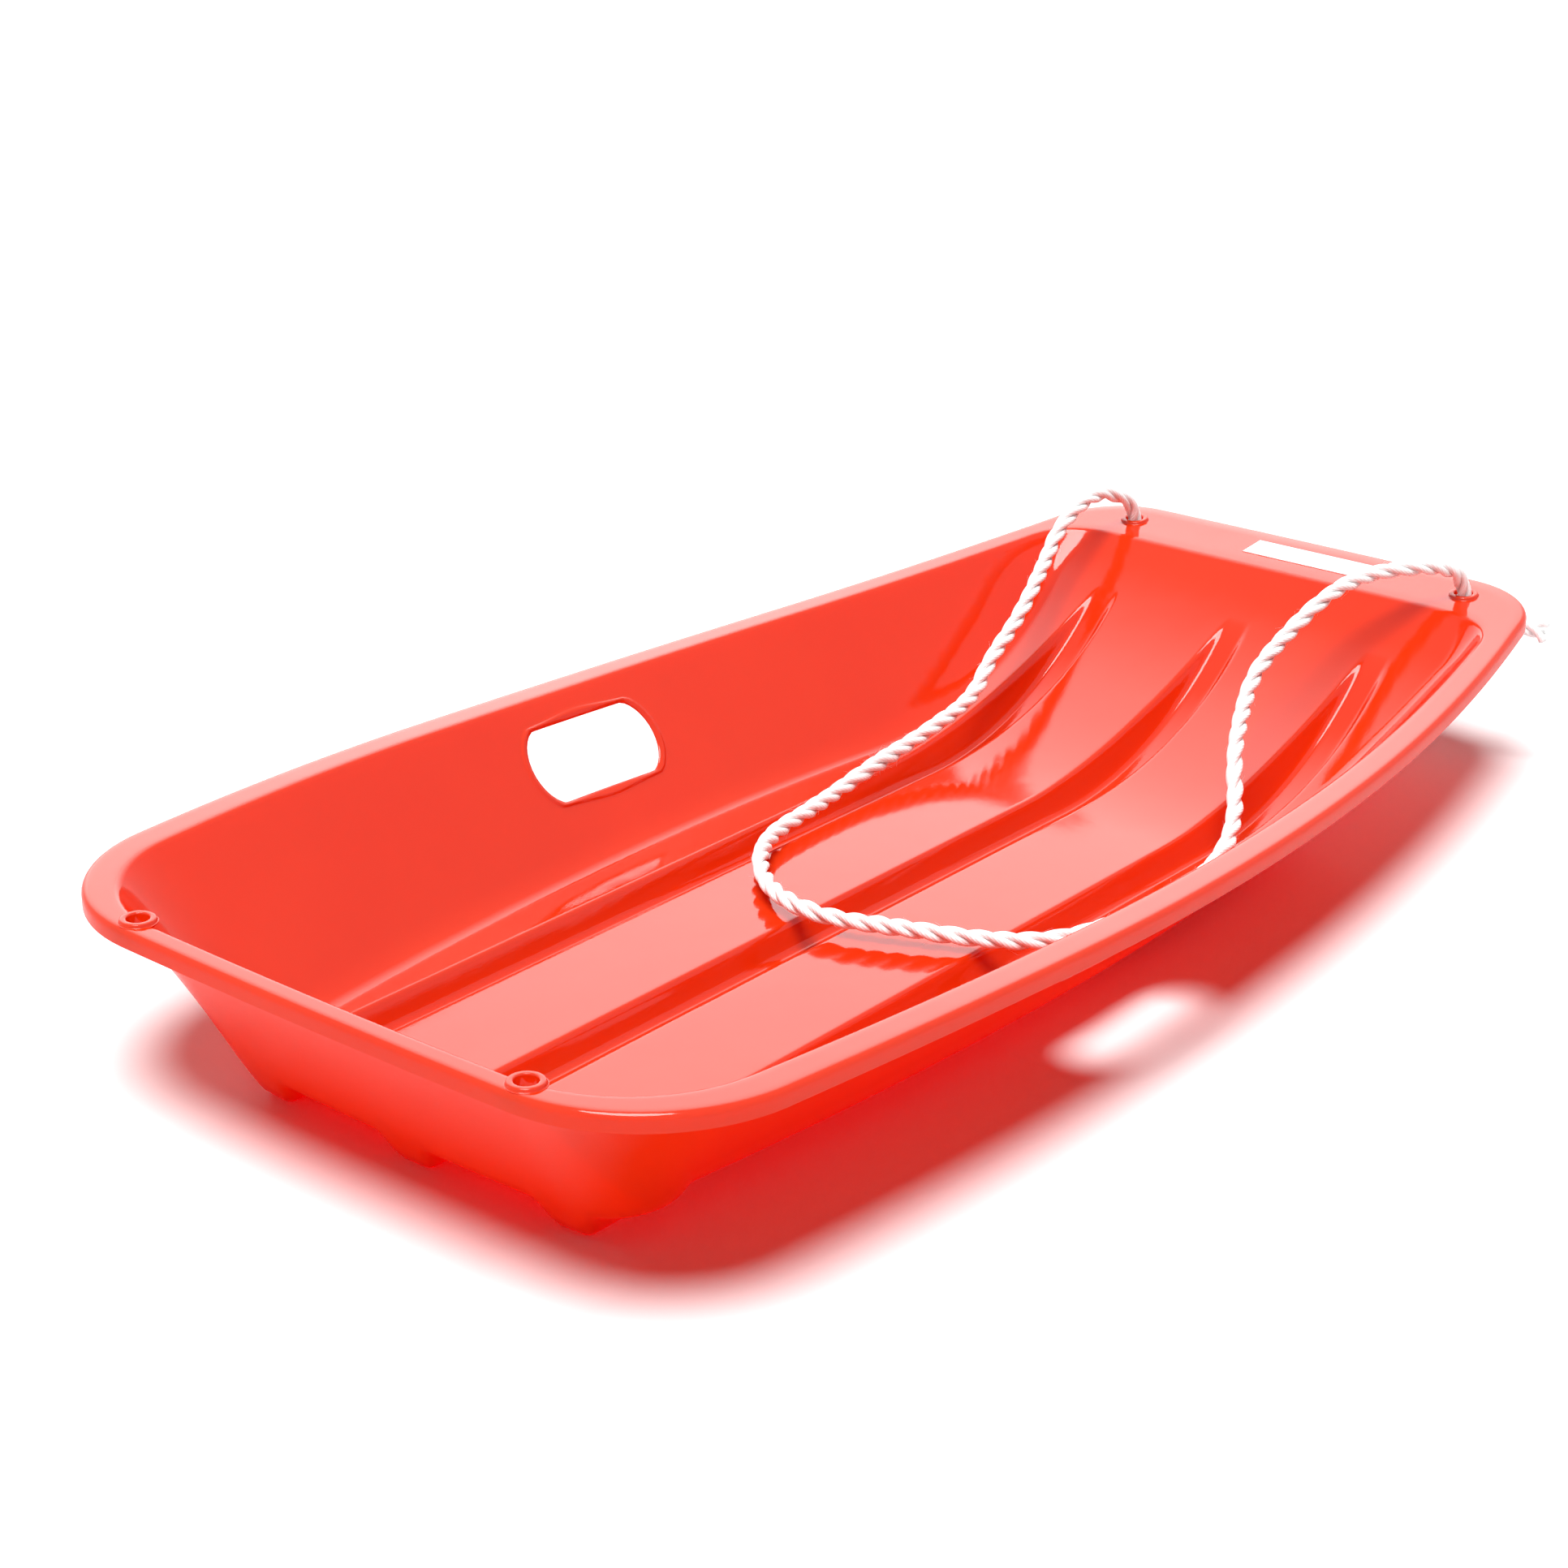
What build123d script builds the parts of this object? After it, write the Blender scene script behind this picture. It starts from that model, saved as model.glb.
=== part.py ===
from build123d import *
import math
import os

# A one-piece moulded plastic toboggan: a shallow tub with a turned-down rim, three runners
# pressed into its floor, a hand hole in each side, four eyelets on the rim, a tow rope with
# a stopper knot under each front eyelet, and a blank label.
# Millimetres, +X towards the front, +Y to the rider's left, the runners stand on z = 0.

# ---- overall size ----------------------------------------------------------------------
length = 870.0
rear_end = -length / 2
front_end = length / 2
wall = 3.0

# ---- floor, runners and the swept-up nose --------------------------------------------------
floor_height = 17.6
nose_run = 297.0
nose_start = front_end - nose_run
nose_radius = 388.0
foot_round = 18.0
runner_nose_lag = 30.0
runner_nose_start = nose_start + runner_nose_lag
runner_nose_radius = 244.0
runner_nose_turn = 60.0
runner_inset = 48.2
runner_half_foot = 8.0
runner_half_width = 14.4
runner_reach = 30.0
runner_round = 3.0

# ---- rim: plan outline, and the line of its top seen from the side --------------------------
rim_half_width = 225.2
rim_widest_at = -105.0
rim_side_radius = 2230.0
rim_rear_corner = 70.0
rim_front_corner = 56.0
rim_thickness = 3.0
lip_depth = 9.0
lip_round = 4.0
rear_rim_height = 106.7
low_rim_height = 93.2
low_rim_inset = 290.0
low_rim_at = front_end - low_rim_inset
front_sheer_radius = 2760.0

# ---- opening of the tub: its sides halfway between the rim's heights, its rear at the rear rim --
opening_height = (rear_rim_height + low_rim_height) / 2
side_flange = 15.6
rear_flange = 16.3
front_flange = 52.0
opening_half_width = rim_half_width - side_flange
opening_widest_at = -30.0
opening_rear_radius = 2300.0
opening_front_radius = 1500.0
rear_bow = 4.0
front_bow = 1.5
side_lean = 37.5
rear_lean = 27.0
rear_corner_top = 59.0
rear_corner_foot = 34.0
front_corner_top = 48.0
front_corner_foot = 42.0
floor_half_width = opening_half_width - (opening_height - floor_height) * math.tan(math.radians(side_lean))
runner_pitch = floor_half_width - runner_inset

# ---- hand holes ------------------------------------------------------------------------------
grip_at = -50.4
grip_drop = 31.8
grip_length = 72.0
grip_opening = 35.0
grip_bulge = 12.5
grip_tilt = 2.1
grip_corner = 7.0

# ---- tow rope and eyelets ----------------------------------------------------------------------
rope_diameter = 8.5
rope_clearance = 2.5
eyelet_hole = rope_diameter + rope_clearance
eyelet_wall = 3.5
eyelet_outer = eyelet_hole + 2 * eyelet_wall
eyelet_rise = 1.8
eyelet_round = 0.8
rear_eyelet_inset = 13.0
rear_eyelet_side_inset = 99.8
front_eyelet_inset = 27.8
front_eyelet_side_inset = 105.0
knot_overhang = 5.0
knot_diameter = eyelet_hole + 2 * knot_overhang
knot_height = 19.0
knot_round = 6.3
knot_gap = 0.3
rope_lift = 13.0
bend_share = 0.45
left_tail_length = 16.0
left_tail_heading = 80.0
right_tail_length = 35.0
right_tail_heading = -55.0
tail_droop = 12.0

# ---- label -------------------------------------------------------------------------------------
label_width = 92.0
label_depth = 26.0
label_thickness = 0.4
label_gap = 8.0
label_offset = -14.8

above = 60.0
overlap = 20.0
wide = 400.0
nearly_up = 0.9


# ---- sheer: the rim's top line is two equal arcs down to its low point, then one arc up ------
half_run = (low_rim_at - rear_end) / 2
half_fall = (rear_rim_height - low_rim_height) / 2
rear_sheer_radius = (half_run**2 + half_fall**2) / (2 * half_fall)
sheer_middle = (rear_end + low_rim_at) / 2


def arc_rise(radius, run):
    """Height that an arc of this radius gains over a run from its level end."""
    return radius - math.sqrt(radius**2 - run**2)


def rim_height(x):
    """Height of the rim's top face at x."""
    if x > low_rim_at:
        return low_rim_height + arc_rise(front_sheer_radius, x - low_rim_at)
    if x > sheer_middle:
        return low_rim_height + arc_rise(rear_sheer_radius, low_rim_at - x)
    return rear_rim_height - arc_rise(rear_sheer_radius, max(x - rear_end, 0))


def sheer_point(x, drop):
    return (x, rim_height(x) - drop)


def sheer_arcs(drop):
    """The rim's top line, lowered by drop, from behind the rear end to past the front end."""
    ends = (rear_end, sheer_middle, low_rim_at, front_end + overlap)
    Line(sheer_point(rear_end - overlap, drop), sheer_point(rear_end, drop))
    for start, stop in zip(ends[:-1], ends[1:]):
        middle = (start + stop) / 2
        ThreePointArc(sheer_point(start, drop), sheer_point(middle, drop), sheer_point(stop, drop))


def side_band(top_drop, bottom_drop):
    """Side view of the layer between two copies of the rim's top line."""
    back = rear_end - overlap
    front = front_end + overlap
    with BuildSketch(Plane.XZ) as band:
        with BuildLine():
            sheer_arcs(top_drop)
            Line(sheer_point(front, top_drop), sheer_point(front, bottom_drop))
            sheer_arcs(bottom_drop)
            Line(sheer_point(back, top_drop), sheer_point(back, bottom_drop))
        make_face()
    return band.sketch


def rim_outline(grow):
    """Plan outline of the rim, grown outwards by grow."""
    rear = rear_end - grow
    front = front_end + grow
    half = rim_half_width + grow
    radius = rim_side_radius + grow
    rear_half = half - arc_rise(radius, rear - rim_widest_at)
    front_half = half - arc_rise(radius, front - rim_widest_at)
    with BuildSketch() as outline:
        with BuildLine():
            ThreePointArc((rear + rear_bow, -rear_half), (rear, 0), (rear + rear_bow, rear_half))
            ThreePointArc((rear + rear_bow, rear_half), (rim_widest_at, half), (front - front_bow, front_half))
            ThreePointArc((rear + rear_bow, -rear_half), (rim_widest_at, -half), (front - front_bow, -front_half))
            ThreePointArc((front - front_bow, -front_half), (front, 0), (front - front_bow, front_half))
        make_face()
        fillet(outline.vertices().group_by(Axis.X)[0], rim_rear_corner + grow)
        fillet(outline.vertices().group_by(Axis.X)[-1], rim_front_corner + grow)
    return outline.sketch


def tub_outline(height, grow):
    """Plan outline of the tub's wall at a height, grown outwards by grow."""
    rise = height - opening_height
    share = (height - floor_height) / (opening_height - floor_height)
    half = opening_half_width + rise * math.tan(math.radians(side_lean)) + grow
    rear = rear_end + rear_flange + (rear_rim_height - height) * math.tan(math.radians(rear_lean)) - grow
    front = front_end - front_flange + grow
    rear_corner = rear_corner_foot + share * (rear_corner_top - rear_corner_foot) + grow
    front_corner = front_corner_foot + share * (front_corner_top - front_corner_foot) + grow
    middle = opening_widest_at
    with BuildSketch(Plane.XY.offset(height)) as outline:
        with BuildLine():
            for end, radius in ((rear, opening_rear_radius), (front, opening_front_radius)):
                end_half = half - arc_rise(radius + grow, end - middle)
                between = (end + middle) / 2
                between_half = half - arc_rise(radius + grow, between - middle)
                for side in (1, -1):
                    ThreePointArc((end, side * end_half), (between, side * between_half), (middle, side * half))
                bow = rear_bow if end == rear else -front_bow
                ThreePointArc((end, -end_half), (end - bow, 0), (end, end_half))
        make_face()
        fillet(outline.vertices().group_by(Axis.X)[0], rear_corner)
        fillet(outline.vertices().group_by(Axis.X)[-1], front_corner)
    return outline.sketch


def tub_block(grow):
    """The tub's outside, or with grow 0 its inside, as a solid with sloping sides."""
    with BuildPart() as block:
        add(tub_outline(-wall, grow))
        add(tub_outline(rear_rim_height + above, grow))
        loft(ruled=True)
    return block.part


def side_profile(drop):
    """Side view of the space above the floor and the nose, lowered by drop."""
    back = rear_end - above
    front = front_end + above
    top = rear_rim_height + above
    radius = nose_radius + drop
    floor = floor_height - drop
    with BuildSketch(Plane.XZ) as profile:
        with BuildLine():
            Line((back, top), (back, floor))
            Line((back, floor), (nose_start, floor))
            reach = math.sqrt(radius**2 - (radius - (top - floor)) ** 2)
            ThreePointArc(
                (nose_start, floor),
                (nose_start + reach / 2, floor + arc_rise(radius, reach / 2)),
                (nose_start + reach, top),
            )
            Line((nose_start + reach, top), (back, top))
        make_face()
    return profile.sketch


def runners(grow):
    """Three runners, straight along the floor and curving up under the nose."""
    slope = (runner_half_width - runner_half_foot) / (floor_height - wall)
    lean = math.atan(slope)
    foot = runner_half_foot + grow / math.cos(lean) - grow * slope
    half = foot + runner_reach * slope
    start = wall - grow
    radius = runner_nose_radius - start
    with BuildPart() as bars:
        with BuildLine() as path:
            Line((rear_end, 0, start), (runner_nose_start, 0, start))
            TangentArc(
                (runner_nose_start, 0, start),
                (
                    runner_nose_start + radius * math.sin(math.radians(runner_nose_turn)),
                    0,
                    runner_nose_radius - radius * math.cos(math.radians(runner_nose_turn)),
                ),
                tangent=(1, 0, 0),
            )
        with BuildSketch(Plane((rear_end, 0, start), x_dir=(0, 1, 0), z_dir=(1, 0, 0))) as section:
            with BuildLine():
                Polyline((-foot, 0), (foot, 0), (half, runner_reach), (-half, runner_reach), close=True)
            make_face()
            fillet(section.vertices().group_by(Axis.Z)[0], runner_round + grow)
        sweep(path=path.line)
    with BuildPart() as trio:
        for side in (-1, 0, 1):
            add(bars.part.moved(Location((0, side * runner_pitch, 0))))
        add(tub_block(grow), mode=Mode.INTERSECT)
    return trio.part


def hull(grow):
    """Tub and runners as one solid: the outside with grow = wall, the inside with grow = 0."""
    with BuildPart() as shape:
        add(tub_block(grow / math.cos(math.radians(side_lean))))
        slab = extrude(side_profile(grow), amount=wide, both=True, mode=Mode.PRIVATE)
        add(slab, mode=Mode.INTERSECT)
        curved = shape.edges().filter_by(GeomType.LINE, reverse=True)
        fillet(curved.filter_by_position(Axis.Z, -wall, rear_rim_height + wall), foot_round + grow)
        add(runners(grow))
    return shape.part


def grip_outline():
    """Side view of a hand hole: level top and bottom, ends that bulge out as arcs."""
    half = grip_length / 2
    rise = grip_opening / 2
    centre = (grip_at, 0, rim_height(grip_at) - grip_drop)
    with BuildSketch(Plane(origin=centre, x_dir=(1, 0, 0), z_dir=(0, -1, 0))) as outline:
        with BuildLine():
            Line((-half, rise), (half, rise))
            ThreePointArc((half, rise), (half + grip_bulge, 0), (half, -rise))
            Line((half, -rise), (-half, -rise))
            ThreePointArc((-half, -rise), (-half - grip_bulge, 0), (-half, rise))
        make_face()
        fillet(outline.vertices(), grip_corner)
    return outline.sketch.rotate(Axis(centre, (0, 1, 0)), grip_tilt)


rear_eyelet_at = rear_end + rear_eyelet_inset
front_eyelet_at = front_end - front_eyelet_inset
rear_eyelet_side = rim_half_width - rear_eyelet_side_inset
front_eyelet_side = rim_half_width - front_eyelet_side_inset
eyelets = {
    "rear_left": (rear_eyelet_at, rear_eyelet_side),
    "rear_right": (rear_eyelet_at, -rear_eyelet_side),
    "front_left": (front_eyelet_at, front_eyelet_side),
    "front_right": (front_eyelet_at, -front_eyelet_side),
}


def eyelet_boss(x, y):
    """The raised ring round an eyelet's hole."""
    with BuildPart() as boss:
        with BuildSketch(Plane.XY.offset(rim_height(x) - rim_thickness)):
            with Locations((x, y)):
                Circle(eyelet_outer / 2)
        extrude(amount=rim_thickness + eyelet_rise)
        fillet(boss.faces().sort_by(Axis.Z)[-1].edges(), eyelet_round)
    return boss.part


# ---- rim: a plate that follows the sheer, with its outer edge turned down ---------------------
with BuildPart() as rim:
    with BuildSketch(Plane.XY.offset(low_rim_height - above)):
        add(rim_outline(0))
    extrude(amount=2 * above)
    add(extrude(side_band(0, lip_depth), amount=wide, both=True, mode=Mode.PRIVATE), mode=Mode.INTERSECT)
    crown = rim.faces().filter_by(lambda face: face.normal_at().Z > nearly_up)
    fillet(crown.edges().filter_by(GeomType.LINE, reverse=True), lip_round)

with BuildPart() as rim_hollow:
    with BuildSketch(Plane.XY.offset(low_rim_height - above)):
        add(rim_outline(-wall))
    extrude(amount=2 * above)
    hollow_band = side_band(rim_thickness, lip_depth + overlap)
    add(extrude(hollow_band, amount=wide, both=True, mode=Mode.PRIVATE), mode=Mode.INTERSECT)

# ---- tub: rim, walls, floor, runners and nose in one moulding ----------------------------------
with BuildPart() as tub:
    add(hull(wall))
    under_rim = side_band(0, low_rim_height + above)
    add(extrude(under_rim, amount=wide, both=True, mode=Mode.PRIVATE), mode=Mode.INTERSECT)
    add(rim.part - rim_hollow.part)
    add(hull(0), mode=Mode.SUBTRACT)
    for x, y in eyelets.values():
        add(eyelet_boss(x, y))
        with Locations((x, y, rim_height(x))):
            Hole(eyelet_hole / 2, depth=above)
    extrude(grip_outline(), amount=wide, both=True, mode=Mode.SUBTRACT)

# ---- label: a blank sticker on the front flange ---------------------------------------------------
label_at = front_end - front_flange + label_gap + label_depth / 2
with BuildPart() as label:
    with BuildSketch(Plane.XY.offset(rim_height(label_at) - rim_thickness)):
        with Locations((label_at, label_offset)):
            Rectangle(label_depth, label_width)
    extrude(amount=2 * rim_thickness)
    add(extrude(side_band(-label_thickness, 0), amount=wide, both=True, mode=Mode.PRIVATE), mode=Mode.INTERSECT)

# ---- tow rope: one length from the left front eyelet, over the floor, to the right one ------------
eyelet_x, eyelet_y = eyelets["front_left"]
knot_top = rim_height(eyelet_x - knot_diameter / 2) - rim_thickness - knot_gap
route = [
    (eyelet_x, eyelet_y, knot_top),
    (eyelet_x, eyelet_y, knot_top + rope_lift),
    (393, 123, 129),
    (366, 127, 130),
    (335, 127, 119),
    (304, 119, 99),
    (262, 104, 79),
    (228, 98, 61),
    (193, 92, 48),
    (147, 96, 38),
    (95, 97, 31),
    (38, 91, 27),
    (-16, 89, 26),
    (-52, 66, 27),
    (-74, 30, 28),
    (-78, -8, 28),
    (-64, -50, 28),
    (-46, -88, 26),
    (-22, -114, 25),
    (24, -122, 26),
    (75, -122, 25),
    (120, -117, 28),
    (152, -108, 42),
    (184, -97, 60),
    (212, -84, 77),
    (240, -74, 91),
    (272, -76, 107),
    (308, -78, 120),
    (340, -84, 127),
    (366, -101, 130),
    (392, -117, 127),
    (eyelet_x, -eyelet_y, knot_top + rope_lift),
    (eyelet_x, -eyelet_y, knot_top),
]
points = [Vector(point) for point in route]
runs = [stop - start for start, stop in zip(points[:-1], points[1:])]
reaches = [bend_share * run.length for run in runs]
reaches[0] = reaches[-1] = 2 * bend_share * min(runs[0].length, runs[-1].length)
radii = []
for before, after, back, ahead in zip(runs[:-1], runs[1:], reaches[:-1], reaches[1:]):
    turn = before.get_angle(after)
    radii.append(min(back, ahead) / math.tan(math.radians(turn / 2)))

with BuildPart() as tow_rope:
    with BuildLine() as rope_path:
        FilletPolyline(*points, radius=radii)
    with BuildSketch(Plane(points[0], x_dir=(1, 0, 0), z_dir=(0, 0, 1))):
        Circle(rope_diameter / 2)
    sweep(path=rope_path.line)
rope_length = rope_path.wires()[0].length
print("rope radii", [round(radius) for radius in radii])
print("rope length", round(rope_length), "volume", round(tow_rope.part.volume))
print("section times length", round(math.pi * (rope_diameter / 2) ** 2 * rope_length))


def stopper_knot(x, y, tail_length, tail_heading):
    """A rounded knot pulled up against the rim's underside, with its loose tail."""
    centre = knot_top - knot_height / 2
    with BuildPart() as knot:
        with BuildSketch(Plane.XY.offset(knot_top - knot_height)):
            with Locations((x, y)):
                Circle(knot_diameter / 2)
        extrude(amount=knot_height)
        fillet(knot.edges(), knot_round)
        along = Vector(1, 0, 0).rotate(Axis.Y, tail_droop).rotate(Axis.Z, tail_heading)
        with BuildSketch(Plane((x, y, centre), z_dir=along)):
            Circle(rope_diameter / 2)
        extrude(amount=knot_diameter / 2 + tail_length)
    return knot.part


with BuildPart() as left_knot:
    add(stopper_knot(*eyelets["front_left"], left_tail_length, left_tail_heading))

with BuildPart() as right_knot:
    add(stopper_knot(*eyelets["front_right"], right_tail_length, right_tail_heading))

os.makedirs("parts", exist_ok=True)
pieces = {
    "tub": tub,
    "label": label,
    "tow_rope": tow_rope,
    "left_knot": left_knot,
    "right_knot": right_knot,
}
for name, piece in pieces.items():
    piece.part.label = name
    export_step(piece.part, f"parts/{name}.step")
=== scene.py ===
import bpy
import math
import random
import numpy as np
from mathutils import Matrix, Vector


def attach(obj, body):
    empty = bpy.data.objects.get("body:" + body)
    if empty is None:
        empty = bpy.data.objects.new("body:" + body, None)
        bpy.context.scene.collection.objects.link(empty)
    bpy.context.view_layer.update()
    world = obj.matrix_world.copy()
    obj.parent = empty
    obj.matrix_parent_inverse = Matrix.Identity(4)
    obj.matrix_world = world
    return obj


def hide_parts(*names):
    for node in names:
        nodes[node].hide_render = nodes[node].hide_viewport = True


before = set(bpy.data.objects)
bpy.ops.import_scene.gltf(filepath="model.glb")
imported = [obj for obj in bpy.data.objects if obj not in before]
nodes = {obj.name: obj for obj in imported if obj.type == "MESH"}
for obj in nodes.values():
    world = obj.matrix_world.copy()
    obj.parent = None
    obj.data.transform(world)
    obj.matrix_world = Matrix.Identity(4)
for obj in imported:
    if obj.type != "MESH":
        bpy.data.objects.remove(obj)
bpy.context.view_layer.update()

# ---- camera --------------------------------------------------------------------------------
camera_data = bpy.data.cameras.new("camera")
camera_data.sensor_width = 36.0
camera_data.lens = 69.707
camera_data.clip_start = 0.05
camera_data.clip_end = 100.0
camera = bpy.data.objects.new("camera", camera_data)
bpy.context.scene.collection.objects.link(camera)
bpy.context.scene.camera = camera
yaw = math.radians(39.489)
pitch = math.radians(22.242)
roll = math.radians(0.211)
level = math.cos(pitch)
forward = Vector((level * math.cos(yaw), level * math.sin(yaw), -math.sin(pitch)))
level_right = Vector((math.sin(yaw), -math.cos(yaw), 0.0))
level_up = level_right.cross(forward)
right = math.cos(roll) * level_right + math.sin(roll) * level_up
up = math.cos(roll) * level_up - math.sin(roll) * level_right
turn = Matrix((right, up, -forward)).transposed().to_4x4()
camera.matrix_world = Matrix.Translation((-1.2219, -0.9232, 0.7019)) @ turn

# ---- tow rope: its route, on which its strands are laid ---------------------------------------
ROPE = 0.0085
LAY = 0.042
STRAND_RADIUS = 0.00222
STRAND_OFFSET = 0.00256
EYELET_X, EYELET_Y, EYELET_TOP = 0.4072, 0.1202, 0.1014
route = [
    (0.4072, 0.1202, 0.1014),
    (0.4072, 0.1202, 0.1135),
    (0.394, 0.1225, 0.1245),
    (0.369, 0.127, 0.1325),
    (0.333, 0.129, 0.119),
    (0.304, 0.121, 0.099),
    (0.260, 0.108, 0.079),
    (0.224, 0.104, 0.062),
    (0.193, 0.093, 0.048),
    (0.147, 0.096, 0.038),
    (0.095, 0.097, 0.031),
    (0.038, 0.091, 0.027),
    (-0.012, 0.086, 0.026),
    (-0.048, 0.063, 0.027),
    (-0.074, 0.030, 0.028),
    (-0.081, -0.009, 0.028),
    (-0.064, -0.050, 0.028),
    (-0.046, -0.088, 0.026),
    (-0.022, -0.116, 0.0245),
    (0.024, -0.129, 0.0235),
    (0.075, -0.133, 0.0235),
    (0.120, -0.130, 0.027),
    (0.156, -0.118, 0.038),
    (0.184, -0.097, 0.060),
    (0.212, -0.084, 0.077),
    (0.240, -0.074, 0.091),
    (0.272, -0.076, 0.107),
    (0.308, -0.078, 0.120),
    (0.340, -0.084, 0.127),
    (0.366, -0.101, 0.130),
    (0.392, -0.117, 0.127),
    (0.4072, -0.1202, 0.1144),
    (0.4072, -0.1202, 0.1014),
]


def spline_points(name, points, spacing):
    """Points at an even spacing along the smooth spline that these points control."""
    curve = bpy.data.curves.new(name, "CURVE")
    curve.dimensions = "3D"
    curve.resolution_u = 24
    spline = curve.splines.new("NURBS")
    spline.points.add(len(points) - 1)
    for point, place in zip(spline.points, points):
        point.co = (*place, 1.0)
    spline.order_u = 3
    spline.use_endpoint_u = True
    carrier = bpy.data.objects.new(name, curve)
    line = bpy.data.meshes.new_from_object(carrier)
    raw = np.array([vertex.co[:] for vertex in line.vertices])
    bpy.data.objects.remove(carrier)
    bpy.data.meshes.remove(line)
    steps = np.linalg.norm(np.diff(raw, axis=0), axis=1)
    raw = raw[np.append(True, steps > 1e-7)]
    along = np.append(0.0, np.cumsum(np.linalg.norm(np.diff(raw, axis=0), axis=1)))
    count = max(int(along[-1] / spacing), 8)
    even = np.linspace(0.0, along[-1], count + 1)
    return np.stack([np.interp(even, along, raw[:, axis]) for axis in range(3)], axis=1), even


def travelling_axes(path):
    """Unit tangent, normal and binormal at each point, carried along without twist."""
    tangent = np.gradient(path, axis=0)
    tangent /= np.linalg.norm(tangent, axis=1)[:, None]
    start = np.array([0.0, 0.0, 1.0]) if abs(tangent[0][2]) < 0.9 else np.array([1.0, 0.0, 0.0])
    normal = np.zeros_like(path)
    normal[0] = start - tangent[0] * start.dot(tangent[0])
    for index in range(1, len(path)):
        carried = normal[index - 1] / np.linalg.norm(normal[index - 1])
        normal[index] = carried - tangent[index] * carried.dot(tangent[index])
    normal /= np.linalg.norm(normal, axis=1)[:, None]
    return tangent, normal, np.cross(tangent, normal)


def mesh_object(name, places, faces):
    mesh = bpy.data.meshes.new(name)
    mesh.from_pydata(places, [], faces)
    thing = bpy.data.objects.new(name, mesh)
    bpy.context.scene.collection.objects.link(thing)
    return thing


class Skin:
    """Vertices, faces and UVs of tubes gathered into one mesh."""

    def __init__(self):
        self.places = []
        self.faces = []
        self.uvs = []

    def tube(self, path, radii, sides, closed_ends=True, along=None):
        _, normal, binormal = travelling_axes(path)
        base = len(self.places)
        angles = np.linspace(0.0, 2.0 * math.pi, sides, endpoint=False)
        if along is None:
            along = np.append(0.0, np.cumsum(np.linalg.norm(np.diff(path, axis=0), axis=1)))
        for index, centre in enumerate(path):
            ring = np.outer(np.cos(angles), normal[index]) + np.outer(np.sin(angles), binormal[index])
            self.places.extend((centre + radii[index] * ring).tolist())
        for index in range(len(path) - 1):
            for side in range(sides):
                after = (side + 1) % sides
                a = base + index * sides
                b = a + sides
                self.faces.append((a + side, a + after, b + after, b + side))
                u = side / sides
                w = (side + 1) / sides
                near, far = along[index], along[index + 1]
                self.uvs.extend([(u, near), (w, near), (w, far), (u, far)])
        if closed_ends:
            last = base + (len(path) - 1) * sides
            self.faces.append(tuple(base + side for side in reversed(range(sides))))
            self.uvs.extend([(0.5, along[0])] * sides)
            self.faces.append(tuple(last + side for side in range(sides)))
            self.uvs.extend([(0.5, along[-1])] * sides)

    def object(self, name, material):
        thing = mesh_object(name, self.places, self.faces)
        mesh = thing.data
        layer = mesh.uv_layers.new(name="along")
        layer.data.foreach_set("uv", np.array(self.uvs).ravel())
        mesh.polygons.foreach_set("use_smooth", [True] * len(mesh.polygons))
        mesh.materials.append(material)
        mesh.update()
        return thing


# ---- materials -------------------------------------------------------------------------------
def new_material(name):
    material = bpy.data.materials.new(name)
    material.use_nodes = True
    tree = material.node_tree
    return material, tree, tree.nodes["Principled BSDF"]


def add_node(tree, kind, **settings):
    node = tree.nodes.new(kind)
    for key, value in settings.items():
        setattr(node, key, value)
    return node


def noise(tree, source, scale, detail=2.0, roughness=0.5, stretch=(1.0, 1.0, 1.0)):
    mapping = add_node(tree, "ShaderNodeMapping")
    mapping.inputs["Scale"].default_value = stretch
    tree.links.new(source, mapping.inputs["Vector"])
    texture = add_node(tree, "ShaderNodeTexNoise")
    texture.inputs["Scale"].default_value = scale
    texture.inputs["Detail"].default_value = detail
    texture.inputs["Roughness"].default_value = roughness
    tree.links.new(mapping.outputs["Vector"], texture.inputs["Vector"])
    return texture.outputs["Fac"]


def ramp(tree, source, low, high, low_value, high_value):
    node = add_node(tree, "ShaderNodeMapRange")
    node.inputs["From Min"].default_value = low
    node.inputs["From Max"].default_value = high
    node.inputs["To Min"].default_value = low_value
    node.inputs["To Max"].default_value = high_value
    tree.links.new(source, node.inputs["Value"])
    return node.outputs["Result"]


def bump(tree, height, strength, distance, normal=None):
    node = add_node(tree, "ShaderNodeBump")
    node.inputs["Strength"].default_value = strength
    node.inputs["Distance"].default_value = distance
    tree.links.new(height, node.inputs["Height"])
    if normal is not None:
        tree.links.new(normal, node.inputs["Normal"])
    return node.outputs["Normal"]


def colour_mix(tree, factor, first, second):
    node = add_node(tree, "ShaderNodeMix", data_type="RGBA")
    node.inputs["A"].default_value = (*first, 1.0)
    node.inputs["B"].default_value = (*second, 1.0)
    tree.links.new(factor, node.inputs["Factor"])
    return node.outputs[2]


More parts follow.
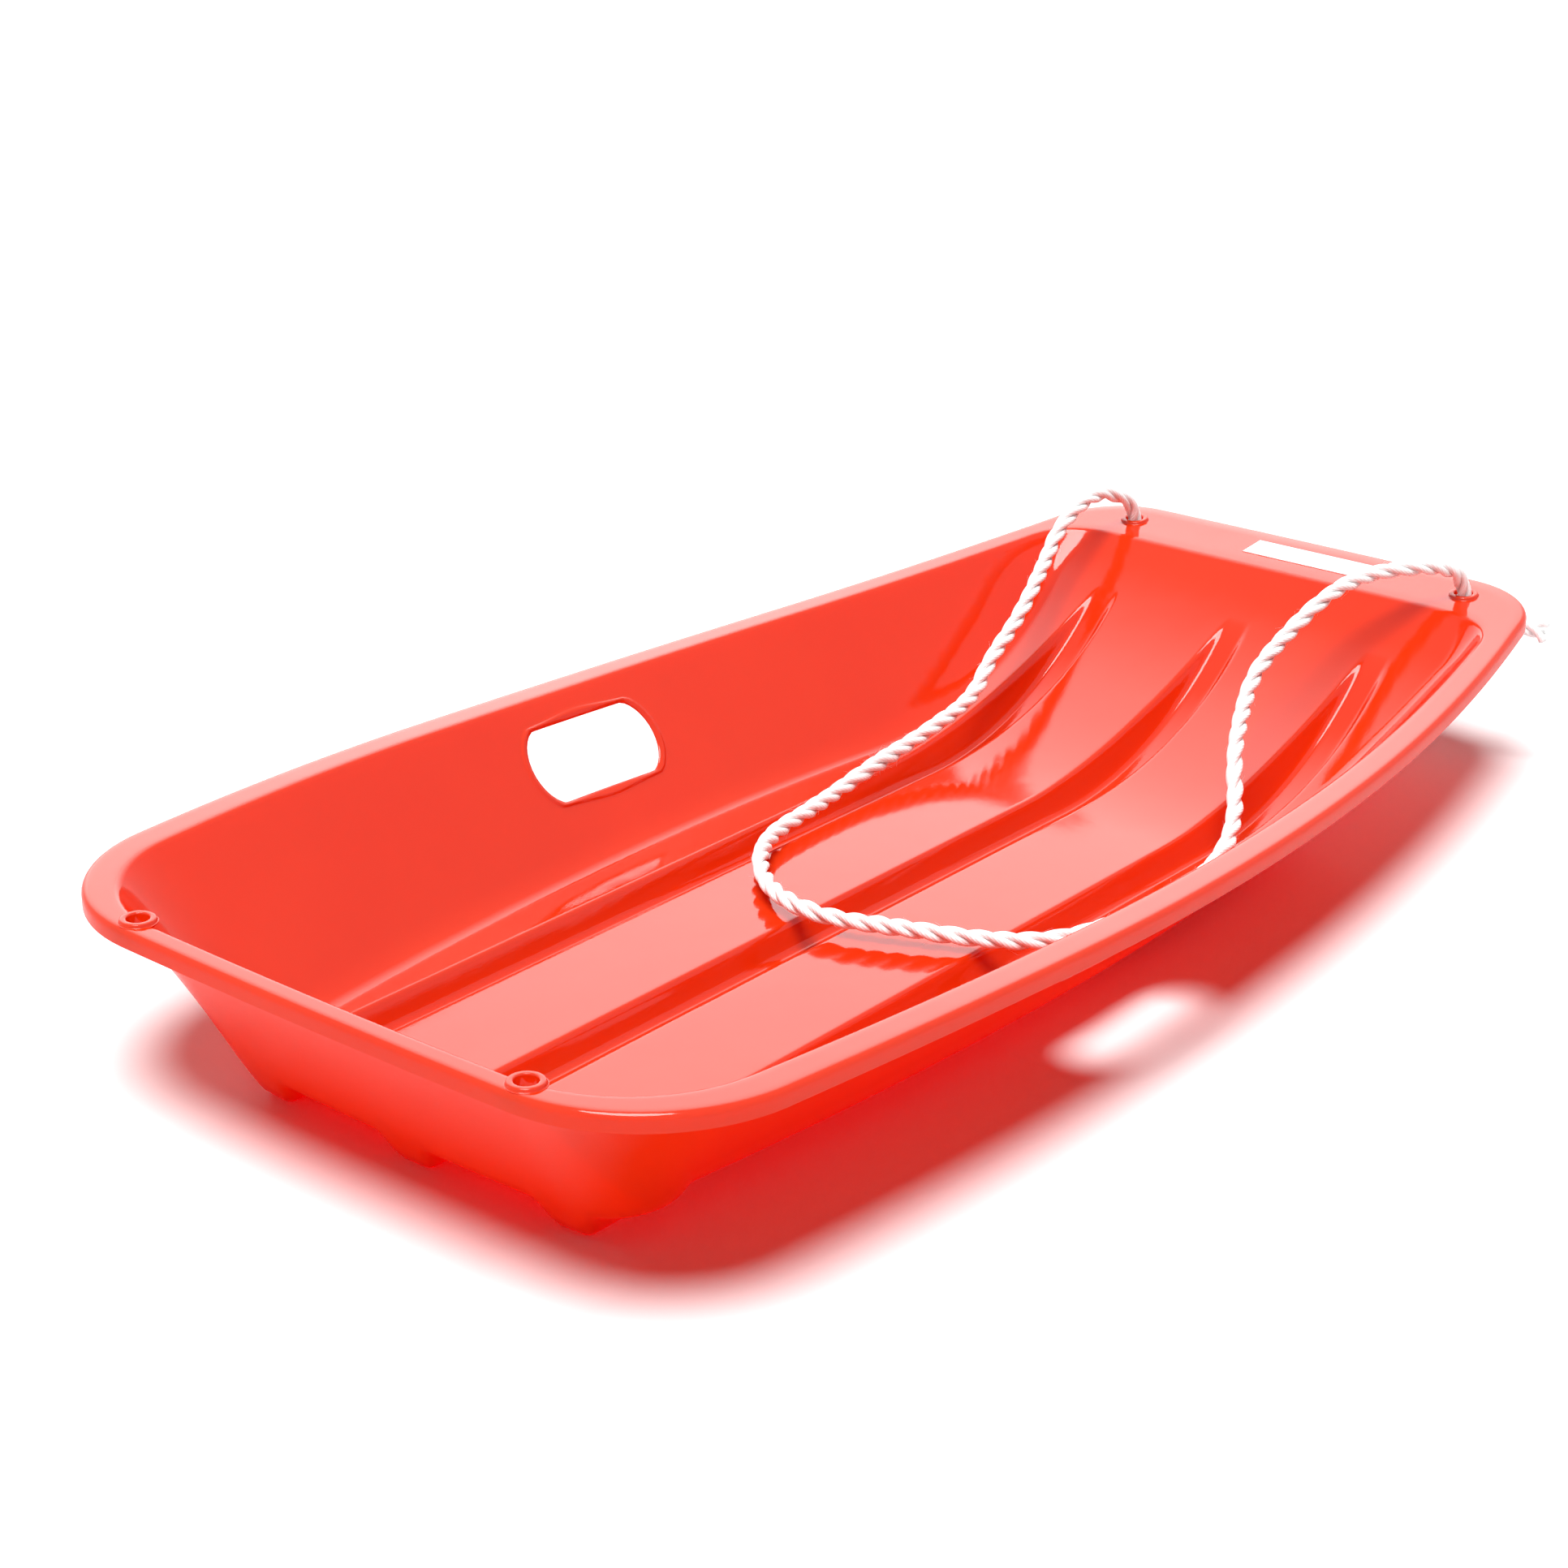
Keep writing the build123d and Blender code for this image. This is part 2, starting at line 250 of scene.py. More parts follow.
def plastic():
    material, tree, shader = new_material("moulded_plastic")
    place = add_node(tree, "ShaderNodeTexCoord").outputs["Object"]
    cloudy = noise(tree, place, 9.0, 3.0)
    clouds = ramp(tree, cloudy, 0.3, 0.7, 0.0, 1.0)
    base = colour_mix(tree, clouds, (0.70, 0.042, 0.004), (0.73, 0.050, 0.005))
    tree.links.new(base, shader.inputs["Base Color"])
    flow = noise(tree, place, 22.0, 2.0, stretch=(0.4, 1.6, 1.0))
    tree.links.new(ramp(tree, flow, 0.3, 0.7, 0.05, 0.08), shader.inputs["Roughness"])
    waves = bump(tree, noise(tree, place, 30.0, 1.0), 0.10, 0.002)
    peel = bump(tree, noise(tree, place, 900.0, 1.0), 0.05, 0.0004, waves)
    tree.links.new(peel, shader.inputs["Normal"])
    shader.inputs["IOR"].default_value = 1.5
    glow = add_node(tree, "ShaderNodeBsdfTranslucent")
    glow.inputs["Color"].default_value = (0.97, 0.012, 0.004, 1.0)
    share = add_node(tree, "ShaderNodeMixShader")
    share.inputs["Fac"].default_value = 0.42
    tree.links.new(shader.outputs["BSDF"], share.inputs[1])
    tree.links.new(glow.outputs["BSDF"], share.inputs[2])
    # part of the lamp's light passes through, stained red, so that the shadow is red too
    seen = add_node(tree, "ShaderNodeLightPath")
    through = add_node(tree, "ShaderNodeMath", operation="MULTIPLY")
    through.inputs[1].default_value = 0.25
    tree.links.new(seen.outputs["Is Shadow Ray"], through.inputs[0])
    stain = add_node(tree, "ShaderNodeBsdfTransparent")
    stain.inputs["Color"].default_value = (1.0, 0.02, 0.02, 1.0)
    lamplit = add_node(tree, "ShaderNodeMixShader")
    tree.links.new(through.outputs["Value"], lamplit.inputs["Fac"])
    tree.links.new(share.outputs["Shader"], lamplit.inputs[1])
    tree.links.new(stain.outputs["BSDF"], lamplit.inputs[2])
    tree.links.new(lamplit.outputs["Shader"], tree.nodes["Material Output"].inputs["Surface"])
    return material


def twisted_fibre():
    material, tree, shader = new_material("rope_strands")
    coords = add_node(tree, "ShaderNodeTexCoord")
    uv = coords.outputs["UV"]
    place = coords.outputs["Object"]
    split = add_node(tree, "ShaderNodeSeparateXYZ")
    tree.links.new(uv, split.inputs["Vector"])
    around = add_node(tree, "ShaderNodeMath", operation="MULTIPLY_ADD")
    around.inputs[1].default_value = 9.0
    tree.links.new(split.outputs["X"], around.inputs[0])
    slant = add_node(tree, "ShaderNodeMath", operation="MULTIPLY")
    slant.inputs[1].default_value = -330.0
    tree.links.new(split.outputs["Y"], slant.inputs[0])
    tree.links.new(slant.outputs["Value"], around.inputs[2])
    turn = add_node(tree, "ShaderNodeMath", operation="MULTIPLY")
    turn.inputs[1].default_value = 2.0 * math.pi
    tree.links.new(around.outputs["Value"], turn.inputs[0])
    yarns = add_node(tree, "ShaderNodeMath", operation="SINE")
    tree.links.new(turn.outputs["Value"], yarns.inputs[0])
    fine = noise(tree, place, 2600.0, 2.0)
    patch = noise(tree, place, 160.0, 3.0)
    yarn_bump = bump(tree, yarns.outputs["Value"], 0.45, 0.00022)
    fine_bump = bump(tree, fine, 0.5, 0.00025, yarn_bump)
    tree.links.new(fine_bump, shader.inputs["Normal"])
    clouds = ramp(tree, patch, 0.3, 0.7, 0.0, 1.0)
    tone = colour_mix(tree, clouds, (0.90, 0.895, 0.89), (0.96, 0.96, 0.955))
    tree.links.new(tone, shader.inputs["Base Color"])
    tree.links.new(ramp(tree, fine, 0.3, 0.7, 0.45, 0.65), shader.inputs["Roughness"])
    shader.inputs["Subsurface Weight"].default_value = 0.6
    shader.inputs["Subsurface Radius"].default_value = (1.0, 1.0, 1.0)
    shader.inputs["Subsurface Scale"].default_value = 0.0016
    shader.inputs["Sheen Weight"].default_value = 0.25
    return material


def blank_vinyl():
    material, tree, shader = new_material("blank_label")
    place = add_node(tree, "ShaderNodeTexCoord").outputs["Object"]
    grain = noise(tree, place, 1200.0, 2.0)
    patch = noise(tree, place, 60.0, 2.0)
    tone = colour_mix(tree, patch, (0.83, 0.83, 0.82), (0.90, 0.90, 0.89))
    tree.links.new(tone, shader.inputs["Base Color"])
    tree.links.new(ramp(tree, grain, 0.3, 0.7, 0.32, 0.42), shader.inputs["Roughness"])
    tree.links.new(bump(tree, grain, 0.2, 0.0001), shader.inputs["Normal"])
    return material


PLASTIC = plastic()
FIBRE = twisted_fibre()
VINYL = blank_vinyl()


# ---- rope strands -----------------------------------------------------------------------------
def lay_strands(skin, path, along, start_turn=0.0, loosen=(), spread=0.0, spread_run=0.008):
    """Three strands twisted round a path; loosen holds (place, run, share) of slack spots."""
    _, normal, binormal = travelling_axes(path)
    shaker = random.Random(7)
    wobble = [shaker.uniform(0.0, 6.28) for _ in range(6)]
    for number in range(3):
        centres = np.zeros_like(path)
        radii = np.zeros(len(path))
        for index, distance in enumerate(along):
            turn = 2.0 * math.pi * (distance / LAY + number / 3.0) + start_turn
            sway = 0.35 * math.sin(distance * 37.0 + wobble[0])
            sway += 0.2 * math.sin(distance * 91.0 + wobble[1])
            turn += sway
            slack = 0.0
            for place, run, share in loosen:
                slack += share * math.exp(-(((distance - place) / run) ** 2))
            to_end = along[-1] - distance
            flare = spread * max(0.0, 1.0 - to_end / spread_run) ** 2 if spread else 0.0
            out = STRAND_OFFSET * (1.0 + slack) + flare
            out *= 1.0 + 0.04 * math.sin(distance * 210.0 + wobble[2 + number])
            direction = math.cos(turn) * normal[index] + math.sin(turn) * binormal[index]
            centres[index] = path[index] + out * direction
            uneven = 1.04 + 0.05 * math.sin(distance * 157.0 + wobble[3 + number] * 2.0)
            radii[index] = STRAND_RADIUS * uneven
        skin.tube(centres, radii, 12, along=along)


def add_fuzz(skin, path, count, shaker, reach, thickness=0.00005, spots=()):
    """Fine loose fibres that stand off the strands."""
    tangent, normal, binormal = travelling_axes(path)
    for _ in range(count):
        index = shaker.randrange(2, len(path) - 2)
        if spots and shaker.random() < 0.35:
            centre, width = spots[shaker.randrange(len(spots))]
            index = int(min(max(shaker.gauss(centre, width) * len(path), 2), len(path) - 3))
        angle = shaker.uniform(0.0, 2.0 * math.pi)
        out = math.cos(angle) * normal[index] + math.sin(angle) * binormal[index]
        side = np.cross(tangent[index], out)
        root = path[index] + out * ROPE * shaker.uniform(0.36, 0.47)
        heading = shaker.choice((-1.0, 1.0))
        length = reach * shaker.uniform(0.4, 1.0)
        lift = shaker.uniform(0.05, 0.45)
        drift = shaker.uniform(-0.5, 0.5)
        curl = shaker.uniform(-0.3, 0.5)
        places = []
        for step in range(5):
            share = step / 4.0
            stand_off = lift * share - curl * share**2 * 0.5
            move = heading * tangent[index] * share + out * stand_off + side * drift * share**2
            places.append(root + length * move)
        radii = [thickness * (1.0 - 0.15 * step) for step in range(5)]
        skin.tube(np.array(places), radii, 4, closed_ends=False)


rope_path, rope_along = spline_points("route", route, 0.0012)
rope_skin = Skin()
lay_strands(rope_skin, rope_path, rope_along, loosen=((0.338, 0.012, 0.22),))
tow_rope = rope_skin.object("tow_rope_strands", FIBRE)

fuzz_skin = Skin()
fuzz_shaker = random.Random(21)
add_fuzz(fuzz_skin, rope_path, 900, fuzz_shaker, 0.009, spots=((0.284, 0.01),))
rope_fuzz = fuzz_skin.object("tow_rope_fuzz", FIBRE)


# ---- stopper knots: the rope wraps round itself under the rim --------------------------------
KNOT_WRAP = 0.0068
KNOT_DROOP = 0.21
KNOT_TURNS = (
    (-150, -0.0185),
    (-105, -0.0178),
    (-60, -0.0160),
    (-15, -0.0142),
    (30, -0.0130),
    (75, -0.0118),
    (120, -0.0106),
    (165, -0.0094),
    (210, -0.0082),
    (255, -0.0070),
    (300, -0.0062),
    (345, -0.0060),
)


def knot_route(x, y, top, heading, tail, droop):
    """The rope's way through a stopper knot, hung under an eyelet at x, y."""
    ahead = Vector((math.cos(heading), math.sin(heading), 0.0))
    aside = Vector((-ahead.y, ahead.x, 0.0))
    centre = Vector((x, y, top))

    def level(depth):
        return Vector((0.0, 0.0, depth))

    places = [centre + level(depth) for depth in (0.004, -0.006, -0.012)]
    for angle, depth in KNOT_TURNS:
        spin = math.radians(angle)
        away = KNOT_WRAP * (0.6 if angle == KNOT_TURNS[0][0] else 1.0)
        places.append(centre + away * (math.cos(spin) * ahead + math.sin(spin) * aside) + level(depth))
    for share in (0.35, 0.7, 1.0):
        step = 0.006 + tail * share
        bend = 0.004 * (1.0 - share)
        places.append(centre + step * ahead + bend * aside + level(-0.0075 - droop * step))
    return [tuple(place) for place in places]


def stopper_knot(name, x, y, heading, tail):
    turns = knot_route(x, y, EYELET_TOP, math.radians(heading), tail, KNOT_DROOP)
    path, along = spline_points(name, turns, 0.0011)
    skin = Skin()
    lay_strands(skin, path, along, start_turn=1.0, spread=0.004, spread_run=0.010)
    shaker = random.Random(len(name))
    add_fuzz(skin, path, 120, shaker, 0.008, spots=((0.97, 0.03),))
    return skin.object(name, FIBRE)


left_knot = stopper_knot("left_stopper_knot", EYELET_X, EYELET_Y, 80.0, 0.026)
right_knot = stopper_knot("right_stopper_knot", EYELET_X, -EYELET_Y, -55.0, 0.045)

# ---- tub: sizes of the moulding, in millimetres --------------------------------------------------
MM = 0.001
REAR, FRONT = -435.0, 435.0
FLOOR, WALL = 17.6, 3.0
REAR_RIM, LOW_RIM, LOW_AT, FRONT_SHEER = 106.7, 93.2, 145.0, 2760.0
MID_RIM = (REAR_RIM + LOW_RIM) / 2
OPEN_HALF, OPEN_AT = 209.6, -30.0
OPEN_REAR, OPEN_FRONT = REAR + 16.3, FRONT - 52.0
REAR_ARCH, FRONT_ARCH = 2300.0, 1500.0
REAR_BOW, FRONT_BOW = 4.0, 1.5
SIDE_LEAN = math.radians(37.5)
SIDE_SLOPE = math.tan(SIDE_LEAN)
REAR_SLOPE = math.tan(math.radians(27.0))
RIM_HALF, RIM_WIDEST, RIM_ARCH = 225.2, -105.0, 2230.0
LIP_ROUND = 3.8
LIP_DROPS = (6.5, 9.0)
NOSE_START, NOSE_RADIUS = 138.0, 388.0
RUNNER_END, RUNNER_RADIUS = 168.0, 241.0
RUNNER_CENTRE_Z = 244.0
CHANNEL_Y = 98.4
CHANNELS = (-CHANNEL_Y, 0.0, CHANNEL_Y)
CHANNEL_HALF = 8.0
CHANNEL_SIDE_RUN = 0.438
CHANNEL_LINES = (
    *(0.0, 2.5, 5.0, 6.5, 7.5, 8.5, 9.5, 10.5),
    *(11.6, 12.7, 13.6, 14.4, 15.2, 16.2, 17.6, 19.6),
)
GRIP_X, GRIP_Z = -50.4, 64.5
GRIP_HALF_HEIGHT = 17.5
GRIP_END_AT, GRIP_END_RADIUS = 30.0, 18.5
GRIP_FLAT_REACH = 36.0
GRIP_EDGE = (
    (6.0, 0.0),
    (5.0, 0.05),
    (4.3, 0.35),
    (3.7, 0.75),
    (3.0, 0.95),
    (2.3, 0.85),
    (1.6, 0.5),
    (0.9, 0.25),
    (0.35, -0.05),
    (0.0, -0.6),
)
EYELETS = ((-422.0, 125.4), (-422.0, -125.4), (407.2, 120.2), (407.2, -120.2))
LABEL_FRONT, LABEL_DEPTH = 418.5, 21.0
LOW_Z, HIGH_Z = 50.0, 100.0
SPOKE_STEPS = (8, 21, 14)
GRID_REAR, GRID_FRONT, GRID_HALF = -320.0, 345.0, 118.0


def arc_rise(radius, run):
    return radius - math.sqrt(max(radius**2 - run**2, 0.0))


def rim_height(x):
    """Height of the rim's top: two equal arcs down to the low point, then one arc up."""
    if x > LOW_AT:
        return LOW_RIM + arc_rise(FRONT_SHEER, x - LOW_AT)
    middle = (REAR + LOW_AT) / 2
    half_run = (LOW_AT - REAR) / 2
    half_fall = (REAR_RIM - LOW_RIM) / 2
    radius = (half_run**2 + half_fall**2) / (2 * half_fall)
    if x > middle:
        return LOW_RIM + arc_rise(radius, LOW_AT - x)
    return REAR_RIM - arc_rise(radius, max(x - REAR, 0.0))


def soft_max(a, b, blend):
    """The larger of two heights, rounded where they cross."""
    mix = max(blend - abs(a - b), 0.0) / blend
    return max(a, b) + mix * mix * blend / 4.0


def soft_min(a, b, blend):
    return -soft_max(-a, -b, blend)


def plain_floor(x):
    """Height of the inside of the floor and nose between the runners."""
    return FLOOR if x < NOSE_START else FLOOR + arc_rise(NOSE_RADIUS, x - NOSE_START)


def channel_floor(x):
    """Height of the bottom of the channels that form the runners."""
    if x < RUNNER_END:
        return WALL
    return RUNNER_CENTRE_Z - math.sqrt(max(RUNNER_RADIUS**2 - (x - RUNNER_END) ** 2, 1.0))


def floor_shape(x, y):
    """Height of the inside of the floor and nose, with the runners' channels pressed into it."""
    plain = plain_floor(x)
    trough = channel_floor(x)
    if trough > plain + 8.0:
        return plain
    low = plain
    for centre in CHANNELS:
        away = abs(y - centre)
        if away < 24.0:
            side = trough + (away - CHANNEL_HALF) / CHANNEL_SIDE_RUN
            edge = 3.2 + 5.0 * min(max((-345.0 - x) / 20.0, 0.0), 1.0)
            low = soft_min(low, soft_max(trough, side, 5.0), edge)
    return low


def outline(rear, front, half, widest, arches, corners):
    """A closed plan outline: bowed ends, arched sides, rounded corners."""

    def side(x):
        radius = arches[0] if x < widest else arches[1]
        return half - arc_rise(radius, x - widest)

    def side_lean(x):
        radius = arches[0] if x < widest else arches[1]
        return -(x - widest) / math.sqrt(radius**2 - (x - widest) ** 2)

    quarter = []
    ends = ((rear, REAR_BOW, corners[0], 1.0), (front, FRONT_BOW, corners[1], -1.0))
    for end, bow, corner, sign in ends:
        end_half = side(end)

        def face(y):
            return end - sign * bow * (1.0 - (y / end_half) ** 2)

        def face_lean(y):
            return sign * 2.0 * bow * y / end_half**2

        cx, cy = end + sign * corner, end_half - corner
        for _ in range(40):
            lean = side_lean(cx)
            size = math.hypot(1.0, lean)
            touch_x = cx - corner * lean / size
            lean = side_lean(touch_x)
            size = math.hypot(1.0, lean)
            cy = side(touch_x) - corner / size
            slant = face_lean(cy)
            size_end = math.hypot(1.0, slant)
            touch_y = cy + corner * slant / size_end
            slant = face_lean(touch_y)
            size_end = math.hypot(1.0, slant)
            cx = face(touch_y) + sign * corner / size_end
        first = math.atan2(touch_y - cy, face(touch_y) - cx)
        last = math.atan2(side(touch_x) - cy, touch_x - cx)
        if sign > 0.0 and first < 0.0:
            first += 2.0 * math.pi
        turns = np.linspace(first, last, 40)
        arc = [(cx + corner * math.cos(a), cy + corner * math.sin(a)) for a in turns]
        flat = [(face(y), y) for y in np.linspace(0.0, touch_y, 30)[:-1]]
        quarter.append((flat + arc, touch_x))
    rear_part, rear_touch = quarter[0]
    front_part, front_touch = quarter[1]
    sides = [(x, side(x)) for x in np.linspace(rear_touch, front_touch, 260)[1:-1]]
    upper = np.array(rear_part + sides + front_part[::-1])
    lower = upper[::-1] * (1.0, -1.0)
    return np.vstack([upper, lower[1:-1], upper[:1]])


def tub_outline(height):
    """The inside of the walls at one height, as if the walls ran on past the floor and rim."""
    half = OPEN_HALF + (height - MID_RIM) * SIDE_SLOPE
    rear = OPEN_REAR + (REAR_RIM - height) * REAR_SLOPE
    share = (height - FLOOR) / (MID_RIM - FLOOR)
    corners = (30.0 + 46.0 * share, 42.0 + 6.0 * share)
    return outline(rear, OPEN_FRONT, half, OPEN_AT, (REAR_ARCH, FRONT_ARCH), corners)


LOW_LINE = tub_outline(LOW_Z)
HIGH_LINE = tub_outline(HIGH_Z)
RIM_LINE = outline(
    REAR + REAR_BOW, FRONT - FRONT_BOW, RIM_HALF, RIM_WIDEST, (RIM_ARCH, RIM_ARCH), (90.0, 56.0)
)


def reach(base, heading, line):
    """Distance from a point along a heading to an outline."""
    start = line[:-1] - base
    step = line[1:] - line[:-1]
    cross = step[:, 0] * heading[1] - step[:, 1] * heading[0]
    cross = np.where(np.abs(cross) < 1e-12, 1e-12, cross)
    share = (start[:, 1] * heading[0] - start[:, 0] * heading[1]) / cross
    away = (start[:, 1] * step[:, 0] - start[:, 0] * step[:, 1]) / cross
    hits = away[(share >= -1e-6) & (share <= 1.0 + 1e-6) & (away > 0.0)]
    return float(hits.min())


def spoke(base, heading):
    """The inside of the tub, its flange and its lip along one line out from the floor."""
    base = np.array(base)
    heading = np.array(heading)
    low = reach(base, heading, LOW_LINE)
    high = reach(base, heading, HIGH_LINE)
    rim = reach(base, heading, RIM_LINE)
    rise = (HIGH_Z - LOW_Z) / max(high - low, 0.2)
    backward = max(-heading[0], 0.0) ** 2
    blend = 11.0 - 4.0 * backward

    def wall_height(out):
        return LOW_Z + (out - low) * rise

    def height(out, with_channels=True):
        x, y = base + heading * out
        under = floor_shape(x, y) if with_channels else plain_floor(x)
        return soft_max(wall_height(out), under, blend)

    outs = np.linspace(0.0, high + 8.0, 500)
    heights = np.array([height(out, False) for out in outs])
    rims = np.array([rim_height(base[0] + heading[0] * out) for out in outs])
    over = int(np.argmax(heights >= rims))
    before = over - 1
    gap_before = rims[before] - heights[before]
    gap_over = heights[over] - rims[over]
    edge = outs[before] + (outs[over] - outs[before]) * gap_before / (gap_before + gap_over)
    floors = np.array([plain_floor(base[0] + heading[0] * out) for out in outs])
    walls = LOW_Z + (outs - low) * rise
    above = walls >= floors
    foot = min(float(outs[int(np.argmax(above))]) if above.any() else edge, edge)
    soften = 2.0
    first = max(min(foot - 17.0, edge * 0.5), edge * 0.12)
    second = max(min(foot + 11.0, edge - 8.0), first + 4.0)
    third = edge - soften
    places = []
    for begin, end, steps in zip((0.0, first, second), (first, second, third), SPOKE_STEPS):
        for out in np.linspace(begin, end, steps + 1)[1:]:
            places.append((*(base + heading * out), height(out)))
    corner_height = rim_height(base[0] + heading[0] * edge)
    start = (third, height(third))
    stop = (edge + soften, rim_height(base[0] + heading[0] * (edge + soften)))
    for share in (0.25, 0.5, 0.75, 1.0):
        begin, middle, end = (1 - share) ** 2, 2 * share * (1 - share), share**2
        out = begin * start[0] + middle * edge + end * stop[0]
        up_to = begin * start[1] + middle * corner_height + end * stop[1]
        places.append((*(base + heading * out), up_to))
    lip = rim - LIP_ROUND
    for out in np.linspace(edge + soften, lip, 6)[1:]:
        x, y = base + heading * out
        places.append((x, y, rim_height(x)))
    top = rim_height(base[0] + heading[0] * lip)
    for angle in np.linspace(0.0, math.pi / 2, 7)[1:]:
        out = lip + LIP_ROUND * math.sin(angle)
        places.append((*(base + heading * out), top - LIP_ROUND + LIP_ROUND * math.cos(angle)))
    for drop in LIP_DROPS:
        places.append((*(base + heading * rim), top - drop))
    return places


def wall_place(x, z, side):
    """A point of the side wall's inside, and the way that wall faces."""
    radius = REAR_ARCH if x < OPEN_AT else FRONT_ARCH
    half = OPEN_HALF + (z - MID_RIM) * SIDE_SLOPE - arc_rise(radius, x - OPEN_AT)
    facing = np.array((0.0, -side * math.cos(SIDE_LEAN), math.sin(SIDE_LEAN)))
    return np.array((x, side * half, z)), facing


def grip_reach(angle):
    """Distance from a hand hole's centre to its outline: level top and bottom, bulging ends."""
    across, rise = abs(math.cos(angle)), abs(math.sin(angle))
    if rise > 1e-6 and GRIP_HALF_HEIGHT * across / rise <= GRIP_FLAT_REACH:
        return GRIP_HALF_HEIGHT / rise
    bulge = max(GRIP_END_RADIUS**2 - (GRIP_END_AT * rise) ** 2, 0.0)
    return GRIP_END_AT * across + math.sqrt(bulge)


def build_tub():
    lines_x = list(np.arange(GRID_REAR, GRID_FRONT + 0.1, 5.0))
    lines_y = {-GRID_HALF, GRID_HALF}
    for centre in CHANNELS:
        for step in CHANNEL_LINES:
            lines_y.update((round(centre + step, 3), round(centre - step, 3)))
    outermost = CHANNEL_LINES[-1]
    between = CHANNEL_Y - 2.0 * outermost
    for start in (outermost - CHANNEL_Y, outermost):
        shares = np.linspace(0.0, 1.0, 13)[1:-1]
        lines_y.update(round(start + share * between, 3) for share in shares)
    lines_y = sorted(y for y in lines_y if abs(y) <= GRID_HALF)
    places = []
    faces = []
    grid = {}
    for i, x in enumerate(lines_x):
        for j, y in enumerate(lines_y):
            grid[i, j] = len(places)
            places.append((x, y, floor_shape(x, y)))
    last_i = len(lines_x) - 1
    last_j = len(lines_y) - 1
    for i in range(last_i):
        for j in range(last_j):
            faces.append((grid[i, j], grid[i + 1, j], grid[i + 1, j + 1], grid[i, j + 1]))

    starts = []

    def fan(i, j, first):
        for step in range(1, 26):
            angle = math.radians(first + 90.0 * step / 26.0)
            starts.append((i, j, (math.cos(angle), math.sin(angle)), None))

    for i in range(last_i + 1):
        starts.append((i, 0, (0.0, -1.0), -1))
    fan(last_i, 0, -90.0)
    for j in range(last_j + 1):
        starts.append((last_i, j, (1.0, 0.0), None))
    fan(last_i, last_j, 0.0)
    for i in range(last_i, -1, -1):
        starts.append((i, last_j, (0.0, 1.0), 1))
    fan(0, last_j, 90.0)
    for j in range(last_j, -1, -1):
        starts.append((0, j, (-1.0, 0.0), None))
    fan(0, 0, 180.0)

    rays = []
    for i, j, heading, side in starts:
        base = grid[i, j]
        run = spoke(places[base][:2], heading)
        indices = [base]
        for place in run:
            indices.append(len(places))
            places.append(place)
        rays.append((indices, side, lines_x[i]))

    # the patch of each side wall that is left out here and filled round its hand hole below
    inside = {}
    for side in (-1, 1):
        chosen = [n for n, ray in enumerate(rays) if ray[1] == side and -112.0 <= ray[2] <= 12.0]
        heights = [places[index][2] for index in rays[chosen[0]][0][: 1 + sum(SPOKE_STEPS)]]
        low_k = max(k for k, z in enumerate(heights) if z < 41.5)
        high_k = min(k for k, z in enumerate(heights) if z > 88.0)
        inside[side] = (min(chosen), max(chosen), low_k, high_k)

    count = len(rays)
    for number in range(count):
        here, side, _ = rays[number]
        there = rays[(number + 1) % count][0]
        for k in range(len(here) - 1):
            if side is not None:
                first, final, low_k, high_k = inside[side]
                if first <= number < final and low_k <= k < high_k:
                    continue
            quad = [here[k], here[k + 1], there[k + 1], there[k]]
            if quad[0] == quad[3]:
                quad = quad[:3]
            faces.append(tuple(quad))

    for side in (-1, 1):
        first, final, low_k, high_k = inside[side]
        loop = [rays[n][0][low_k] for n in range(first, final)]
        loop += [rays[final][0][k] for k in range(low_k, high_k)]
        loop += [rays[n][0][high_k] for n in range(final, first, -1)]
        loop += [rays[first][0][k] for k in range(high_k, low_k, -1)]
        tilt = math.radians(-2.1)
        angles = []
        for index in loop:
            x, _, z = places[index]
            angles.append(math.atan2(z - GRIP_Z, x - GRIP_X))
        reaches = [grip_reach(angle - tilt) for angle in angles]
        rings = [loop]

        def add_ring(outs, lift):
            ring = []
            for angle, out in zip(angles, outs):
                x = GRIP_X + out * math.cos(angle)
                z = GRIP_Z + out * math.sin(angle)
                spot, facing = wall_place(x, z, side)
                ring.append(len(places))
                places.append(tuple(spot + lift * facing))
            rings.append(ring)

        edge = GRIP_EDGE[0][0]
        spans = [math.hypot(places[n][0] - GRIP_X, places[n][2] - GRIP_Z) for n in loop]
        halfway = [hole + edge + (far - hole - edge) * 0.5 for hole, far in zip(reaches, spans)]
        add_ring(halfway, 0.0)
        for away, lift in GRIP_EDGE:
            add_ring([hole + away for hole in reaches], lift)
        size = len(loop)
        for outer, inner in zip(rings[:-1], rings[1:]):
            for n in range(size):
                m = (n + 1) % size
                faces.append((outer[n], inner[n], inner[m], outer[m]))

    tub = mesh_object("tub_moulding", [(x * MM, y * MM, z * MM) for x, y, z in places], faces)
    tub.data.validate()
    return tub


def flange_frame(x, y):
    """Place and tilt of the rim's top at x, y."""
    lean = math.atan2(rim_height(x + 1.0) - rim_height(x - 1.0), 2.0)
    return Matrix.Translation((x * MM, y * MM, rim_height(x) * MM)) @ Matrix.Rotation(-lean, 4, "Y")


def revolve(profile, sides):
    places = []
    faces = []
    count = len(profile)
    for step in range(sides):
        angle = 2.0 * math.pi * step / sides
        for radius, height in profile:
            places.append((radius * math.cos(angle) * MM, radius * math.sin(angle) * MM, height * MM))
    for step in range(sides):
        after = (step + 1) % sides
        for n in range(count):
            m = (n + 1) % count
            faces.append((step * count + n, after * count + n, after * count + m, step * count + m))
    return places, faces


